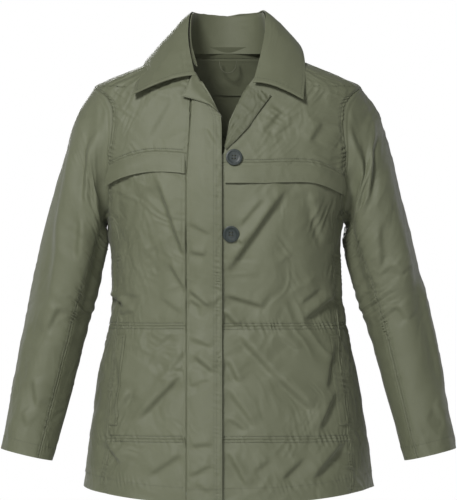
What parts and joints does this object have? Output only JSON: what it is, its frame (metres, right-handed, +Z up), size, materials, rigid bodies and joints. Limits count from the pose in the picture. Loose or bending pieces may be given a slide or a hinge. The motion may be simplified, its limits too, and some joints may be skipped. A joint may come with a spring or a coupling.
{
  "type": "beekeeping jacket",
  "caption": "Long-sleeved olive work jacket with a turned-down collar, fly front over dished buttons, arched storm flaps on the chest, waist seam, side pockets and two-piece sleeves.",
  "frame": {"origin": "middle of the wearer's neck base, level with the top of the shoulders, where the wearer holds the jacket up", "axes": "+Z up, -Y out of the jacket's front, +X towards the wearer's left"},
  "size_m": [0.7326, 0.3364, 0.7811],
  "materials": {
    "shell_cloth": "satin, tightly woven olive synthetic cloth with puckered topstitching",
    "inner_cloth": "matte darker inside cloth",
    "button_resin": "glossy dark grey-green four-hole resin with a raised rim",
    "thread": "twisted sewing thread"
  },
  "bodies": {
    "root": {"back_yoke": "shell_cloth", "back_panel": "shell_cloth", "back_skirt": "shell_cloth", "waist_elastic": "inner_cloth", "back_neck_facing": "inner_cloth", "side_panel_R": "shell_cloth", "side_skirt_R": "shell_cloth", "side_panel_L": "shell_cloth", "side_skirt_L": "shell_cloth", "front_yoke_R": "shell_cloth", "front_yoke_L": "shell_cloth", "front_panel_R": "shell_cloth", "front_panel_L": "shell_cloth", "front_skirt_R": "shell_cloth", "front_skirt_L": "shell_cloth", "pocket_welt_R": "shell_cloth", "pocket_welt_L": "shell_cloth", "fly_cover_top_R": "shell_cloth", "lapel_R": "shell_cloth", "lapel_L": "shell_cloth", "collar_stand": "inner_cloth", "collar_fall_back": "shell_cloth", "button_1": "button_resin", "button_thread_1": "thread", "button_2": "button_resin", "button_thread_2": "thread"},
    "front_R": {"front_edge_R": "shell_cloth", "skirt_edge_R": "shell_cloth", "fly_cover_R": "shell_cloth", "buttonhole_strip_R": "inner_cloth", "pocket_bag_R": "inner_cloth"},
    "front_L": {"front_edge_L": "shell_cloth", "skirt_edge_L": "shell_cloth", "button_stand_L": "inner_cloth", "pocket_bag_L": "inner_cloth", "button_3": "button_resin", "button_4": "button_resin", "button_5": "button_resin", "button_thread_3": "thread", "button_thread_4": "thread", "button_thread_5": "thread"},
    "flap_R": {"storm_flap_R": "shell_cloth"},
    "flap_L": {"storm_flap_L": "shell_cloth"},
    "collar_R": {"collar_wing_R": "shell_cloth"},
    "collar_L": {"collar_wing_L": "shell_cloth"},
    "loop": {"hanger_loop": "inner_cloth"},
    "sleeve_R": {"upper_sleeve_R": "shell_cloth", "upper_undersleeve_R": "shell_cloth"},
    "forearm_R": {"lower_sleeve_R": "shell_cloth", "lower_undersleeve_R": "shell_cloth", "cuff_facing_R": "inner_cloth"},
    "sleeve_L": {"upper_sleeve_L": "shell_cloth", "upper_undersleeve_L": "shell_cloth"},
    "forearm_L": {"lower_sleeve_L": "shell_cloth", "lower_undersleeve_L": "shell_cloth", "cuff_facing_L": "inner_cloth"}
  },
  "joints": [
    {"name": "sleeve_lift_R", "type": "hinge", "parent": "root", "child": "sleeve_R", "pos_m": [-0.185, 0, -0.095], "axis": [0, 1, 0], "range_deg": [0, 60]},
    {"name": "sleeve_lift_L", "type": "hinge", "parent": "root", "child": "sleeve_L", "pos_m": [0.185, 0, -0.095], "axis": [0, -1, 0], "range_deg": [0, 60]},
    {"name": "elbow_R", "type": "hinge", "parent": "sleeve_R", "child": "forearm_R", "pos_m": [-0.2745, 0.003, -0.4195], "axis": [-0.967, 0, 0.2547], "range_deg": [0, 60]},
    {"name": "elbow_L", "type": "hinge", "parent": "sleeve_L", "child": "forearm_L", "pos_m": [0.2745, 0.003, -0.4195], "axis": [-0.967, 0, -0.2547], "range_deg": [0, 60]},
    {"name": "front_fold_R", "type": "hinge", "parent": "root", "child": "front_R", "pos_m": [-0.03, -0.136, -0.125], "axis": [-0.2895, 0.0501, -0.9559], "range_deg": [0, 50]},
    {"name": "front_fold_L", "type": "hinge", "parent": "root", "child": "front_L", "pos_m": [0, -0.136, -0.215], "axis": [-0.4006, -0.0409, 0.9153], "range_deg": [0, 15]},
    {"name": "flap_lift_R", "type": "hinge", "parent": "root", "child": "flap_R", "pos_m": [-0.127, -0.112, -0.147], "axis": [-0.9285, 0.3682, -0.048], "range_deg": [0, 45]},
    {"name": "flap_lift_L", "type": "hinge", "parent": "root", "child": "flap_L", "pos_m": [0.108, -0.12, -0.163], "axis": [-0.9602, -0.2752, 0.0468], "range_deg": [0, 45]},
    {"name": "collar_turn_R", "type": "hinge", "parent": "root", "child": "collar_R", "pos_m": [-0.064, 0.008, 0.073], "axis": [-0.0796, 0.6847, 0.7245], "range_deg": [0, 45]},
    {"name": "collar_turn_L", "type": "hinge", "parent": "root", "child": "collar_L", "pos_m": [0.064, 0.008, 0.073], "axis": [-0.0796, -0.6847, -0.7245], "range_deg": [0, 45]},
    {"name": "loop_swing", "type": "hinge", "parent": "root", "child": "loop", "pos_m": [0, 0.057, 0.002], "axis": [-1, 0, 0], "range_deg": [0, 70]}
  ],
  "couplings": [
    {"joint": "front_fold_L", "follows": "front_fold_R", "ratio": 0.3}
  ]
}
